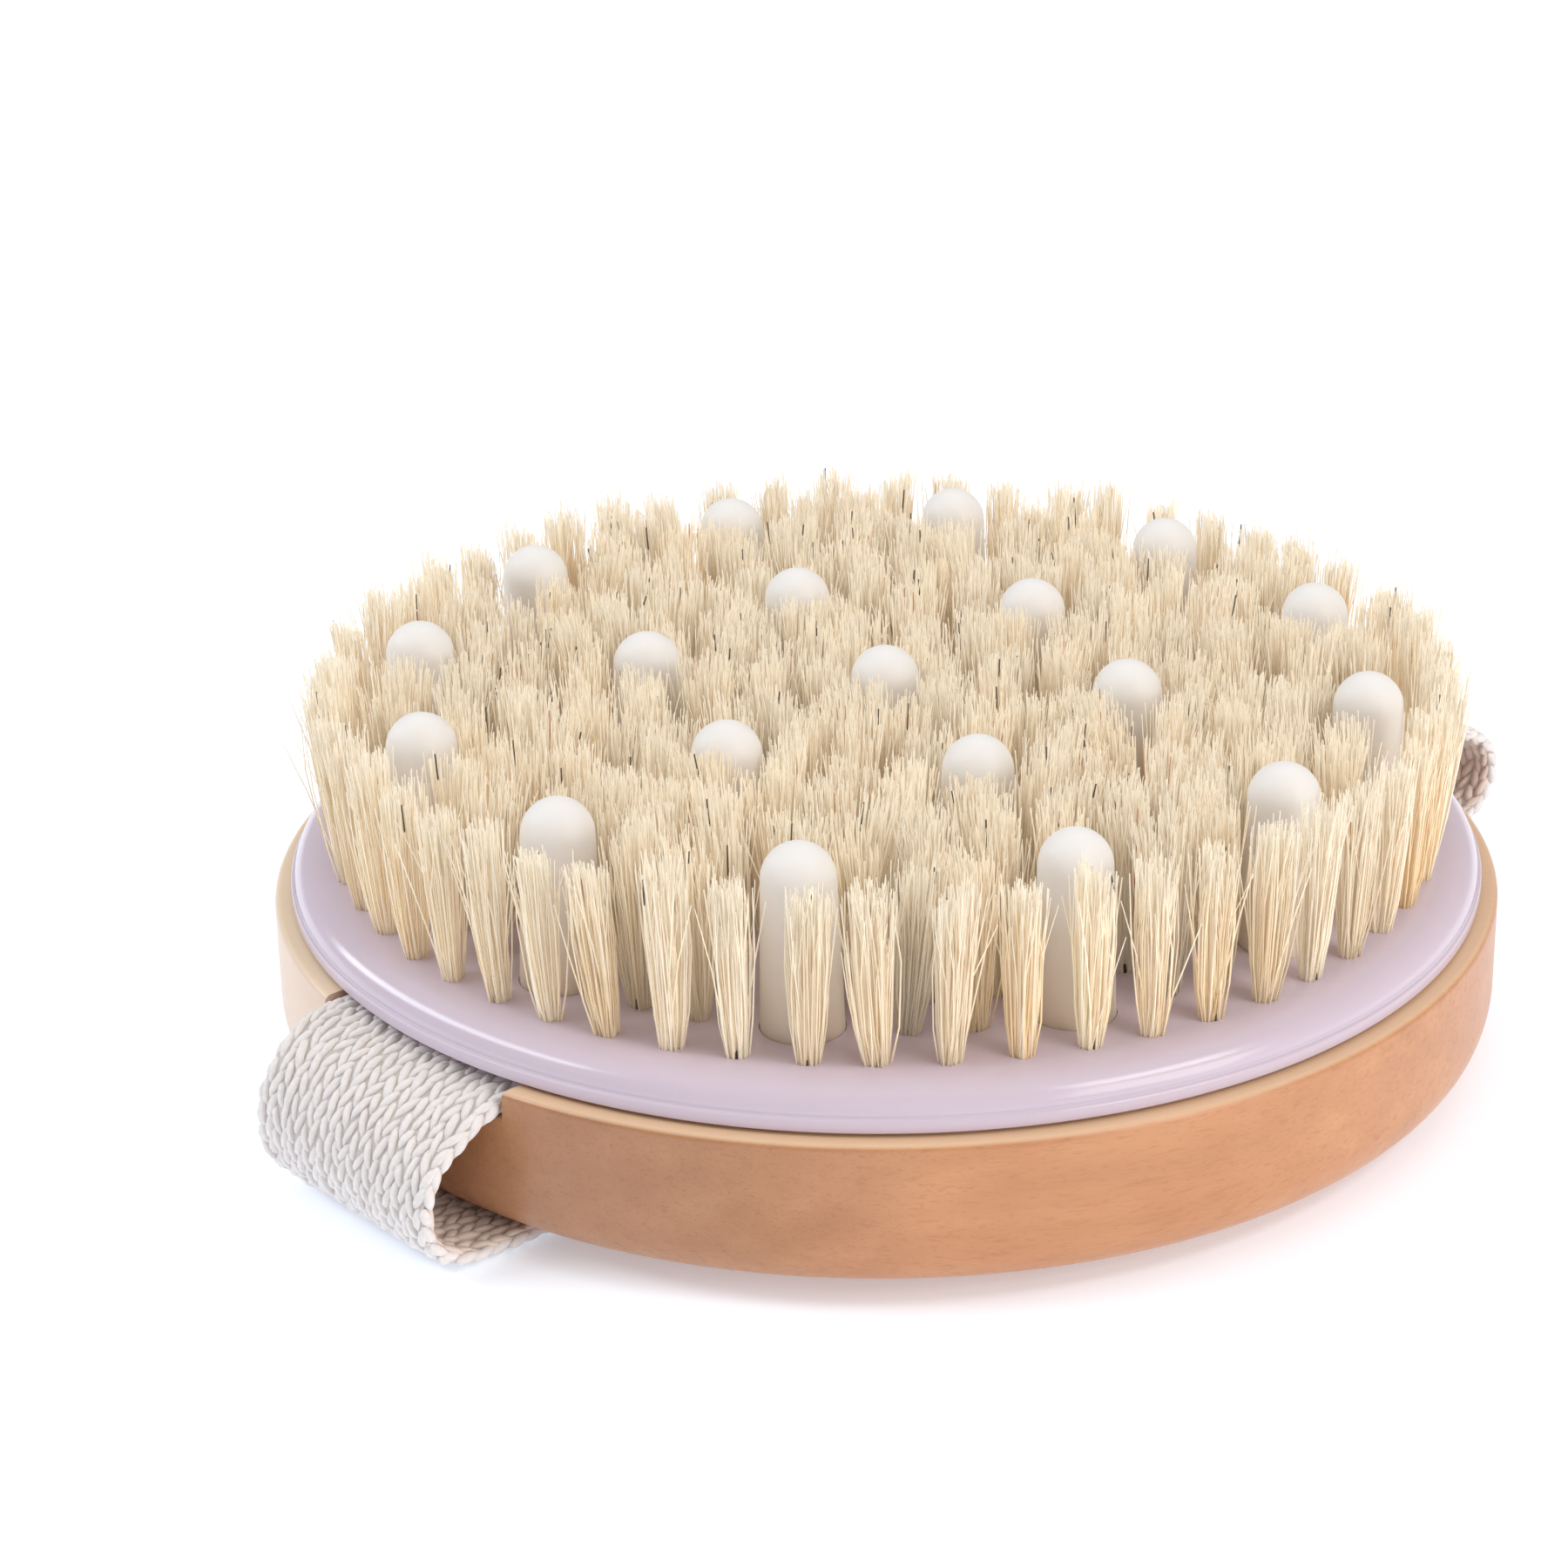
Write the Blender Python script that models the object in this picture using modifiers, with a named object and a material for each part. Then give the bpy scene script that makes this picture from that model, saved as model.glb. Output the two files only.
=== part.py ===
"""Round body dry brush: a beech base, a moulded plate with bristle bands and rubber massage pins,
and a cotton hand strap stapled into two notches under the plate.

Metres, +Z up. The brush lies on its back, bristles up, with the slack strap folded flat beneath it.
The origin is on the surface it lies on, under the centre of the base, and the strap runs along X.
"""

import math

import bmesh
import bpy
from mathutils import Matrix

# Driving dimensions
BASE_RADIUS = 0.0540
BASE_THICKNESS = 0.0130
PLATE_RADIUS = 0.0525
PLATE_THICKNESS = 0.0038
BRISTLE_LENGTH = 0.0150
STRAP_WIDTH = 0.0230
STRAP_THICKNESS = 0.0018
CONTACT_GAP = 0.0003  # left between two pieces that touch

# Heights above the surface that the brush lies on
BASE_BOTTOM = STRAP_THICKNESS + CONTACT_GAP
BASE_TOP = BASE_BOTTOM + BASE_THICKNESS
PLATE_BOTTOM = BASE_TOP + CONTACT_GAP
PLATE_FACE = PLATE_BOTTOM + PLATE_THICKNESS
BRISTLE_TOP = PLATE_FACE + BRISTLE_LENGTH

# Wooden base
TOP_EDGE_ROUND = 0.0006
BACK_EDGE_WIDTH = 0.0030  # how far the back's rounding comes in from the rim
BACK_EDGE_HEIGHT = 0.0045
POCKET_RADIUS = 0.0363
POCKET_DEPTH = 0.0015
NOTCH_WIDTH = STRAP_WIDTH + 2 * CONTACT_GAP
NOTCH_DEPTH = 0.0025
NOTCH_START = 0.0385  # distance of the notch's inner end from the centre

# Plate
PLATE_EDGE_ROUND = 0.0020
FLANGE_HEIGHT = 0.0012
FLANGE_STEP = 0.0004
BOSS_RADIUS = POCKET_RADIUS - CONTACT_GAP
BOSS_DEPTH = 0.0012

# Massage pins: a dome on a tapered shaft, a neck through the plate and a foot under it
PIN_RINGS = ((0.0, 1), (0.0213, 6), (0.0418, 12))  # (ring radius, number of pins)
PIN_PHASE = math.radians(7.8)
PIN_BASE_RADIUS = 0.00345
PIN_DOME_RADIUS = 0.00295
PIN_HEIGHT = 0.0159
PIN_NECK_RADIUS = 0.0019
PIN_FOOT_RADIUS = 0.0029
PIN_FOOT_THICKNESS = 0.0012
COUNTERBORE_HEIGHT = 0.0017  # above the plate's underside
PIN_CLEARANCE = 0.00015

# Bristle bands: (inner radius, outer radius) of the space that their tufts fill
BRISTLE_BANDS = (
    (0.0466, 0.0504),
    (0.0360, 0.0463),
    (0.0265, 0.0357),
    (0.0156, 0.0262),
    (0.0048, 0.0153),
)
OUTER_BAND_FLARE = 0.0009  # how far the outermost tufts lean out at their tips
PIN_TO_BRISTLES = 0.0004

# Strap: the line through the middle of the webbing, in the XZ plane, from end to end
STRAP_END = 0.0395
NOTCH_FLOOR = BASE_TOP - NOTCH_DEPTH
STRAP_IN_NOTCH = NOTCH_FLOOR + CONTACT_GAP + STRAP_THICKNESS / 2
STRAP_ON_FLOOR = STRAP_THICKNESS / 2
STRAP_ROUTE = (
    (-STRAP_END, STRAP_IN_NOTCH),
    (-0.0470, STRAP_IN_NOTCH),
    (-0.0530, STRAP_IN_NOTCH),
    (-0.0565, 0.0123),
    (-0.0587, 0.0103),
    (-0.0599, 0.0077),
    (-0.0599, 0.0050),
    (-0.0587, 0.0026),
    (-0.0563, 0.0013),
    (-0.0525, STRAP_ON_FLOOR),
    (-0.0400, STRAP_ON_FLOOR),
    (0.0, STRAP_ON_FLOOR),
    (0.0500, STRAP_ON_FLOOR),
    (0.0650, STRAP_ON_FLOOR),
    (0.0689, 0.0014),
    (0.0714, 0.0029),
    (0.0725, 0.0053),
    (0.0717, 0.0079),
    (0.0692, 0.0100),
    (0.0650, 0.0113),
    (0.0600, 0.0124),
    (0.0550, STRAP_IN_NOTCH),
    (0.0470, STRAP_IN_NOTCH),
    (STRAP_END, STRAP_IN_NOTCH),
)
STEPS_PER_SPAN = 3

# Staples that hold the strap's ends: (x, y) of each crown's middle
STAPLE_PLACES = {
    "strap_staple_left_1": (-0.0460, -0.0055),
    "strap_staple_left_2": (-0.0460, 0.0055),
    "strap_staple_right_1": (0.0460, -0.0055),
    "strap_staple_right_2": (0.0460, 0.0055),
}
STAPLE_CROWN = 0.0070
STAPLE_WIRE = 0.0006
STAPLE_LEG = 0.0060
STAPLE_SUNK = 0.0005  # how far the crown presses into the webbing
STAPLE_CLEARANCE = 0.00015

# Facets
DISC_STEPS = 72
PIN_STEPS = 14
BAND_STEPS = 48


def clear_scene():
    for obj in list(bpy.data.objects):
        bpy.data.objects.remove(obj, do_unlink=True)


def new_collection(name):
    collection = bpy.data.collections.new(name)
    bpy.context.scene.collection.children.link(collection)
    return collection


def new_material(name, colour, roughness, metallic=0.0):
    material = bpy.data.materials.new(name)
    material.use_nodes = True
    shader = material.node_tree.nodes["Principled BSDF"]
    shader.inputs["Base Color"].default_value = (*colour, 1.0)
    shader.inputs["Roughness"].default_value = roughness
    shader.inputs["Metallic"].default_value = metallic
    return material


def new_object(name, mesh, collection, material=None):
    obj = bpy.data.objects.new(name, mesh)
    collection.objects.link(obj)
    if material:
        obj.data.materials.append(material)
    return obj


def arc(centre, radius, start, end, steps):
    """Points of an arc in the (r, z) plane, from angle start to angle end in degrees."""
    points = []
    for i in range(steps + 1):
        angle = math.radians(start + (end - start) * i / steps)
        points.append(
            (centre[0] + radius[0] * math.cos(angle), centre[1] + radius[1] * math.sin(angle))
        )
    return points


def line_mesh(name, points):
    """A mesh of one open line through (x, z) points in the XZ plane."""
    mesh = bpy.data.meshes.new(name)
    vertices = [(x, 0.0, z) for x, z in points]
    edges = [(i, i + 1) for i in range(len(points) - 1)]
    mesh.from_pydata(vertices, edges, [])
    return mesh


def turned(name, profile, steps, collection, material=None):
    """A solid of revolution about Z. The profile runs down its outer side, top to bottom."""
    obj = new_object(name, line_mesh(name, profile), collection, material)
    screw = obj.modifiers.new("Turn", "SCREW")
    screw.steps = steps
    screw.render_steps = steps
    screw.use_merge_vertices = True
    screw.merge_threshold = 0.00001
    screw.use_smooth_shade = False
    return obj


def hide(cutter):
    cutter.hide_render = True
    cutter.display_type = "WIRE"
    return cutter


def cylinders(name, places, radius, bottom, top, steps, collection):
    """A cutter of upright cylinders at several (x, y, angle) places."""
    shape = bmesh.new()
    for x, y, angle in places:
        made = bmesh.ops.create_cone(
            shape,
            cap_ends=True,
            segments=steps,
            radius1=radius,
            radius2=radius,
            depth=top - bottom,
        )
        bmesh.ops.rotate(
            shape,
            verts=made["verts"],
            cent=(0, 0, 0),
            matrix=Matrix.Rotation(angle, 3, "Z"),
        )
        bmesh.ops.translate(shape, verts=made["verts"], vec=(x, y, (bottom + top) / 2))
    mesh = bpy.data.meshes.new(name)
    shape.to_mesh(mesh)
    shape.free()
    return hide(new_object(name, mesh, collection))


def boxes(name, corners, collection):
    """A cutter of boxes, each given by its lowest and highest corner."""
    shape = bmesh.new()
    for low, high in corners:
        made = bmesh.ops.create_cube(shape, size=1.0)
        size = [high[k] - low[k] for k in range(3)]
        middle = [(high[k] + low[k]) / 2 for k in range(3)]
        bmesh.ops.scale(shape, verts=made["verts"], vec=size)
        bmesh.ops.translate(shape, verts=made["verts"], vec=middle)
    mesh = bpy.data.meshes.new(name)
    shape.to_mesh(mesh)
    shape.free()
    return hide(new_object(name, mesh, collection))


def cut(obj, cutter):
    modifier = obj.modifiers.new("Cut " + cutter.name, "BOOLEAN")
    modifier.operation = "DIFFERENCE"
    modifier.object = cutter
    return obj


def pin_places():
    """(x, y, angle) of each massage pin, from the centre outwards."""
    places = []
    for radius, count in PIN_RINGS:
        for i in range(count):
            angle = PIN_PHASE + 2 * math.pi * i / count
            places.append((radius * math.cos(angle), radius * math.sin(angle), angle))
    return places


def make_wooden_base(collection, cutters, material, leg_cutter):
    back_edge = arc(
        (BASE_RADIUS - BACK_EDGE_WIDTH, BASE_BOTTOM + BACK_EDGE_HEIGHT),
        (BACK_EDGE_WIDTH, BACK_EDGE_HEIGHT),
        0,
        -90,
        7,
    )
    top_edge = arc(
        (BASE_RADIUS - TOP_EDGE_ROUND, BASE_TOP - TOP_EDGE_ROUND),
        (TOP_EDGE_ROUND, TOP_EDGE_ROUND),
        90,
        0,
        2,
    )
    profile = [
        (0.0, BASE_TOP - POCKET_DEPTH),
        (POCKET_RADIUS, BASE_TOP - POCKET_DEPTH),
        (POCKET_RADIUS, BASE_TOP),
        *top_edge,
        *back_edge,
        (0.0, BASE_BOTTOM),
    ]
    base = turned("wooden_base", profile, DISC_STEPS, collection, material)
    past_rim = BASE_RADIUS + 0.002
    notches = boxes(
        "notch_cutter",
        [
            (
                (min(side * NOTCH_START, side * past_rim), -NOTCH_WIDTH / 2, NOTCH_FLOOR),
                (max(side * NOTCH_START, side * past_rim), NOTCH_WIDTH / 2, BASE_TOP + 0.002),
            )
            for side in (-1, 1)
        ],
        cutters,
    )
    cut(base, notches)
    return cut(base, leg_cutter)


def make_brush_plate(collection, cutters, material):
    body_radius = PLATE_RADIUS - FLANGE_STEP
    edge = arc(
        (body_radius - PLATE_EDGE_ROUND, PLATE_FACE - PLATE_EDGE_ROUND),
        (PLATE_EDGE_ROUND, PLATE_EDGE_ROUND),
        90,
        0,
        5,
    )
    flange_top = PLATE_BOTTOM + FLANGE_HEIGHT
    profile = [
        (0.0, PLATE_FACE),
        *edge,
        (body_radius, flange_top + FLANGE_STEP / 2),
        (PLATE_RADIUS, flange_top),
        (PLATE_RADIUS, PLATE_BOTTOM),
        (BOSS_RADIUS, PLATE_BOTTOM),
        (BOSS_RADIUS, PLATE_BOTTOM - BOSS_DEPTH),
        (0.0, PLATE_BOTTOM - BOSS_DEPTH),
    ]
    plate = turned("brush_plate", profile, DISC_STEPS, collection, material)
    below = PLATE_BOTTOM - BOSS_DEPTH - 0.002
    necks = cylinders(
        "pin_neck_cutter",
        pin_places(),
        PIN_NECK_RADIUS + PIN_CLEARANCE,
        below,
        PLATE_FACE + 0.002,
        PIN_STEPS,
        cutters,
    )
    feet = cylinders(
        "pin_foot_cutter",
        pin_places(),
        PIN_FOOT_RADIUS + PIN_CLEARANCE,
        below,
        PLATE_BOTTOM + COUNTERBORE_HEIGHT,
        PIN_STEPS,
        cutters,
    )
    cut(plate, necks)
    return cut(plate, feet)


def make_massage_pin(name, place, collection, material):
    shoulder = PIN_CLEARANCE
    dome_centre = PIN_HEIGHT - PIN_DOME_RADIUS
    foot_top = COUNTERBORE_HEIGHT - PLATE_THICKNESS - PIN_CLEARANCE
    foot_bottom = foot_top - PIN_FOOT_THICKNESS
    dome = arc((0.0, dome_centre), (PIN_DOME_RADIUS, PIN_DOME_RADIUS), 90, 0, 4)
    profile = [
        *dome,
        (PIN_BASE_RADIUS, shoulder),
        (PIN_NECK_RADIUS, shoulder),
        (PIN_NECK_RADIUS, foot_top),
        (PIN_FOOT_RADIUS, foot_top),
        (PIN_FOOT_RADIUS, foot_bottom),
        (0.0, foot_bottom),
    ]
    pin = turned(name, profile, PIN_STEPS, collection, material)
    x, y, angle = place
    pin.location = (x, y, PLATE_FACE)
    pin.rotation_euler = (0.0, 0.0, angle)
    return pin


def make_bristle_band(name, inner, outer, flare, collection, material, cutter):
    """The plain solid that stands for the tufts set between two radii of the plate."""
    bottom = PLATE_FACE + CONTACT_GAP
    profile = [
        (inner, BRISTLE_TOP),
        (outer + flare, BRISTLE_TOP),
        (outer, bottom),
        (inner, bottom),
        (inner, BRISTLE_TOP),
    ]
    band = turned(name, profile, BAND_STEPS, collection, material)
    if cutter:
        cut(band, cutter)
    return band


def smooth_line(points, steps):
    """The points of a Catmull-Rom curve through the given points."""
    first = (2 * points[0][0] - points[1][0], 2 * points[0][1] - points[1][1])
    last = (2 * points[-1][0] - points[-2][0], 2 * points[-1][1] - points[-2][1])
    padded = [first, *points, last]
    line = []
    for i in range(1, len(padded) - 2):
        before, start, end, after = padded[i - 1 : i + 3]
        for step in range(steps):
            t = step / steps
            line.append(
                tuple(
                    0.5
                    * (
                        2 * start[k]
                        + (end[k] - before[k]) * t
                        + (2 * before[k] - 5 * start[k] + 4 * end[k] - after[k]) * t * t
                        + (3 * start[k] - before[k] - 3 * end[k] + after[k]) * t**3
                    )
                    for k in range(2)
                )
            )
    line.append(points[-1])
    return line


def make_strap(collection, material, crown_cutter, leg_cutter):
    """The webbing: a line through its middle, drawn out to its width and given its thickness."""
    shape = bmesh.new()
    half = STRAP_WIDTH / 2
    line = [
        shape.verts.new((x, -half, z)) for x, z in smooth_line(STRAP_ROUTE, STEPS_PER_SPAN)
    ]
    edges = [shape.edges.new((line[i], line[i + 1])) for i in range(len(line) - 1)]
    drawn = bmesh.ops.extrude_edge_only(shape, edges=edges)
    moved = [item for item in drawn["geom"] if isinstance(item, bmesh.types.BMVert)]
    bmesh.ops.translate(shape, verts=moved, vec=(0, STRAP_WIDTH, 0))
    mesh = bpy.data.meshes.new("hand_strap")
    shape.to_mesh(mesh)
    shape.free()
    strap = new_object("hand_strap", mesh, collection, material)
    thick = strap.modifiers.new("Webbing", "SOLIDIFY")
    thick.thickness = STRAP_THICKNESS
    thick.offset = 0.0
    thick.use_even_offset = True
    cut(strap, leg_cutter)
    return cut(strap, crown_cutter)


def staple_crown_bottom():
    return STRAP_IN_NOTCH + STRAP_THICKNESS / 2 - STAPLE_SUNK


def staple_foot():
    return staple_crown_bottom() - STAPLE_LEG


def staple_room(place):
    """The space that a staple presses out of the webbing and the wood, as boxes' corners."""
    x, y = place
    reach = STAPLE_WIRE / 2 + STAPLE_CLEARANCE
    half = STAPLE_CROWN / 2 + STAPLE_CLEARANCE
    top = PLATE_BOTTOM + 0.001
    crown_bottom = staple_crown_bottom() - STAPLE_CLEARANCE
    room = [((x - reach, y - half, crown_bottom), (x + reach, y + half, top))]
    for side in (-1, 1):
        leg_y = y + side * (STAPLE_CROWN - STAPLE_WIRE) / 2
        room.append(
            (
                (x - reach, leg_y - reach, staple_foot() - STAPLE_CLEARANCE),
                (x + reach, leg_y + reach, staple_crown_bottom()),
            )
        )
    return room


def make_staple(name, place, collection, material):
    """A wire staple: an inverted U, drawn as a flat outline across the strap."""
    half = STAPLE_CROWN / 2
    inside = half - STAPLE_WIRE
    under = staple_crown_bottom()
    above = under + STAPLE_WIRE
    foot = staple_foot()
    outline = [
        (-half, foot),
        (-inside, foot),
        (-inside, under),
        (inside, under),
        (inside, foot),
        (half, foot),
        (half, above),
        (-half, above),
    ]
    curve = bpy.data.curves.new(name, "CURVE")
    curve.dimensions = "2D"
    curve.fill_mode = "BOTH"
    curve.extrude = STAPLE_WIRE / 2
    spline = curve.splines.new("POLY")
    spline.points.add(len(outline) - 1)
    for point, (across, height) in zip(spline.points, outline):
        point.co = (across, height, 0.0, 1.0)
    spline.use_cyclic_u = True
    staple = new_object(name, curve, collection, material)
    staple.rotation_euler = (math.pi / 2, 0.0, math.pi / 2)
    staple.location = (place[0], place[1], 0.0)
    return staple


def main():
    clear_scene()
    parts = new_collection("body_dry_brush")
    cutters = new_collection("cutters")
    beech = new_material("beech", (0.68, 0.40, 0.22), 0.55)
    plastic = new_material("lilac_plastic", (0.62, 0.52, 0.62), 0.25)
    rubber = new_material("white_rubber", (0.88, 0.84, 0.78), 0.45)
    bristle = new_material("boar_bristle", (0.72, 0.58, 0.38), 0.60)
    cotton = new_material("cotton_webbing", (0.80, 0.76, 0.70), 0.90)
    steel = new_material("staple_wire", (0.60, 0.60, 0.60), 0.35, 1.0)

    rooms = [staple_room(place) for place in STAPLE_PLACES.values()]
    crown_cutter = boxes("staple_crown_cutter", [room[0] for room in rooms], cutters)
    leg_cutter = boxes("staple_leg_cutter", [leg for room in rooms for leg in room[1:]], cutters)
    make_wooden_base(parts, cutters, beech, leg_cutter)
    make_brush_plate(parts, cutters, plastic)
    make_strap(parts, cotton, crown_cutter, leg_cutter)
    for name, place in STAPLE_PLACES.items():
        make_staple(name, place, parts, steel)
    for number, place in enumerate(pin_places(), start=1):
        make_massage_pin(f"massage_pin_{number:02d}", place, parts, rubber)

    pin_holes = cylinders(
        "bristle_clearance_cutter",
        pin_places(),
        PIN_BASE_RADIUS + PIN_TO_BRISTLES,
        PLATE_FACE - 0.001,
        BRISTLE_TOP + 0.001,
        PIN_STEPS,
        cutters,
    )
    for number, (inner, outer) in enumerate(BRISTLE_BANDS, start=1):
        holds_pins = any(inner < radius < outer for radius, _ in PIN_RINGS)
        flare = OUTER_BAND_FLARE if number == 1 else 0.0
        make_bristle_band(
            f"bristle_band_{number}",
            inner,
            outer,
            flare,
            parts,
            bristle,
            pin_holes if holds_pins else None,
        )


main()
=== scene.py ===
"""The looks of a round body dry brush that lies on its back, bristles up.

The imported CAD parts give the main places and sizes. Each visible part is rebuilt here in finer
detail: the turned wooden base, the drilled plate, the leaning rubber pins, the bristle tufts in
their drilled holes, and the strap's webbing, stitch by stitch. Everything is in metres, +Z up.
"""

import math

import bmesh
import bpy
import numpy as np
from mathutils import Matrix, Quaternion, Vector


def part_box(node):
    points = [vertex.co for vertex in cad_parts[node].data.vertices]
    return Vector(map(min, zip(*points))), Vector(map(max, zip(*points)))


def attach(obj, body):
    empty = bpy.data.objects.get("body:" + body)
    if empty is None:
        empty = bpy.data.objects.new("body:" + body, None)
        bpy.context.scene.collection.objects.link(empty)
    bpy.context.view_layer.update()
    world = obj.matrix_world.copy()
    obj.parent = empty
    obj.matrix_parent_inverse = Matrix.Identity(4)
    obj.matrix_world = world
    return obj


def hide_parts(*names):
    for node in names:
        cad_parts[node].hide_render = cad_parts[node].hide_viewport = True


MM = 0.001

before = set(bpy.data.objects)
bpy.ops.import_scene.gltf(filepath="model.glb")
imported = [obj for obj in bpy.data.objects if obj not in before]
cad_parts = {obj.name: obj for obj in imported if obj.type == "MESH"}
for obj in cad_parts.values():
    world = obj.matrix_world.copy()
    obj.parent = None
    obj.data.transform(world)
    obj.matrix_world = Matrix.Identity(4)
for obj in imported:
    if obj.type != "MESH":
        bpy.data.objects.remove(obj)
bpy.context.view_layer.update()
random = np.random.default_rng(7)

# Places and sizes, from the CAD parts and their drawing
BASE_BOTTOM, BASE_TOP = (corner.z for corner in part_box("wooden_base"))
BASE_RADIUS = 54.0 * MM
PLATE_RADIUS = 52.5 * MM
PLATE_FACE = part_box("brush_plate")[1].z
PLATE_BOTTOM = BASE_TOP + 0.3 * MM
POCKET_RADIUS = 36.3 * MM
POCKET_DEPTH = 1.5 * MM
BOSS_RADIUS = 36.0 * MM
BOSS_DEPTH = 1.2 * MM
NOTCH_WIDTH = 23.6 * MM
NOTCH_DEPTH = 2.5 * MM
NOTCH_START = 38.5 * MM
# Past the base's edge
NOTCH_END = 60.0 * MM
STRAP_WIDTH = 23.0 * MM
STRAP_THICKNESS = 1.8 * MM

# The side of the base where painted shade darkens the wood, the side where painted glare
# pales it, and its grain's turn in degrees
PAINTED_SHADE_SIDE = Vector((-0.94, -0.34, 0.0))
PAINTED_GLARE_SIDE = Vector((-0.866, 0.5, 0.0))
GRAIN_TURN = 24

# Massage pins. The phase and the lean are in degrees.
PIN_COUNT = 19
PIN_PHASE = 7.8
PIN_LEAN = 1.1
PIN_BASE_RADIUS = 3.45 * MM
PIN_DOME_RADIUS = 3.02 * MM
PIN_HEIGHT = 15.9 * MM
PIN_SEAT_RADIUS = 3.50 * MM
PIN_SEAT_DEPTH = 0.6 * MM

# Rings of tufts, counted from the middle. Two of them share their circle with the two rings of
# pins, and the tight ring lies just inside the outer one. Phases and steps are in degrees.
RING_PITCH = 5.3 * MM
INNER_PIN_RING = 4
TIGHT_RING = 7
OUTER_PIN_RING = 8
EDGE_RING = 9
RING_PHASES = {TIGHT_RING: PIN_PHASE + 2.1, EDGE_RING: 6.27}
INNER_PIN_RING_STEPS = (-13.5, 0.0, 13.5)
OUTER_PIN_RING_STEPS = (-3.6, 3.6)
TIGHT_RING_INSET = 0.25 * MM
# The CAD band that each ring stands for
BAND_OF_RING = {9: 1, 8: 2, 7: 2, 6: 3, 5: 3, 4: 4, 3: 4, 2: 5, 1: 5}

# Tufts
HOLE_RADIUS = 0.84 * MM
HOLE_DEPTH = 2.4 * MM
TUFT_HEIGHT = 14.9 * MM
TUFT_BOTTOM = -1.6 * MM
TUFT_FOOT_RADIUS = 0.70 * MM
# A tuft's height as a share of the full one, mean and spread, and how much it slants at the top
TUFT_HEIGHT_SHARE = (0.995, 0.028)
TUFT_SLANT = 0.75
ANCHOR_WIDTH = 1.5 * MM
ANCHOR_THICKNESS = 0.12 * MM
ANCHOR_GAP = 0.20 * MM
ANCHOR_DEPTH = 1.2 * MM

# Bristles. Levels are shares of a bristle's height, and the other shares are of all bristles.
# The reach of a stray bristle, low and high, and the mean cut of a short one are in mm.
BRISTLE_RADIUS = 0.084 * MM
BRISTLE_SIDES = 3
BRISTLE_LEVELS = (0.0, 0.30, 0.65, 1.0)
BRISTLE_BEND = 0.32 * MM
BRISTLE_HEIGHT_SPREAD = 0.50 * MM
UNRULY_SHARE = 0.25
UNRULY_SCATTER = 2.3
STRAY_SHARE = 0.045
STRAY_REACH = (1.0, 3.4)
STRAY_DROP = 0.35
SHORT_SHARE = 0.32
SHORT_CUT = 1.1
DARK_SHARE = 0.0045
DARK_START = (0.80, 0.94)
RED_SHARE = 0.0015
# How much shorter the bristles are beside a pin, and the distance over which that fades
PIN_TRIM = 1.6 * MM
PIN_TRIM_REACH = 1.6 * MM
# Painted glow: an emission in place of the light that see-through bristles pass on to each other
BRISTLE_GLOW = 0.115
CREAM = np.array((0.99, 0.87, 0.69))
STRAW = np.array((0.94, 0.71, 0.42))
DARK_END = (0.085, 0.065, 0.050)
RED_END = (0.50, 0.20, 0.07)

# What the tufts of the edge ring and of the inner rings are like. The flare is a low and a
# high value, straw and brightness are a mean and a spread, and shade is low down and high up:
# painted shade that darkens the inner tufts where they stand deep among the others.
EDGE_TUFT = {
    "bristles": 145,
    "flare": (2.0, 2.55),
    "lean": 0.024,
    "outward": 0.045,
    "scatter": 0.30 * MM,
    "straw": (0.08, 0.24),
    "brightness": (0.96, 0.05),
    "tip_tone": np.array((0.96, 0.87, 0.72)),
    "shade": (1.0, 1.0),
}
INNER_TUFT = {
    "bristles": 130,
    "flare": (2.6, 3.5),
    "lean": 0.055,
    "outward": 0.0,
    "scatter": 0.36 * MM,
    "straw": (0.0, 0.30),
    "brightness": (0.98, 0.10),
    "tip_tone": np.array((0.95, 0.84, 0.67)),
    "shade": (0.72, 0.97),
}

# The camera: degrees and metres, about the middle of the plate's face
CAMERA_AZIMUTH = -43.0
CAMERA_ELEVATION = 23.83
CAMERA_DISTANCE = 0.3496
CAMERA_ROLL = -0.39
CAMERA_LENS = 90.44
CAMERA_SHIFT = (-0.065, 0.0193)

# Lights: name, direction, distance, size, power, what the width lies along, colour.
# Both directions are as seen from the camera: X to the right, Y away and Z up.
WHITE = (1.0, 1.0, 1.0)
COOL = (0.86, 0.93, 1.0)
WARM = (1.0, 0.96, 0.91)
SOFTBOXES = (
    ("top_softbox", (-0.15, 0.18, 0.97), 1.2, (2.0, 1.6), 6.3, (1.0, 0.0, 0.0), WHITE),
    ("left_strip", (-0.80, 0.12, 0.55), 0.9, (0.9, 0.17), 3.7, (0.14, -0.98, 0.51), COOL),
    ("right_strip", (0.58, -0.33, 0.75), 0.9, (0.40, 0.20), 1.7, (0.8, 0.5, 0.0), WHITE),
    ("right_fill", (0.72, -0.58, 0.38), 1.0, (0.6, 0.5), 3.7, (1.0, 0.0, 0.0), WARM),
)

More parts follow.
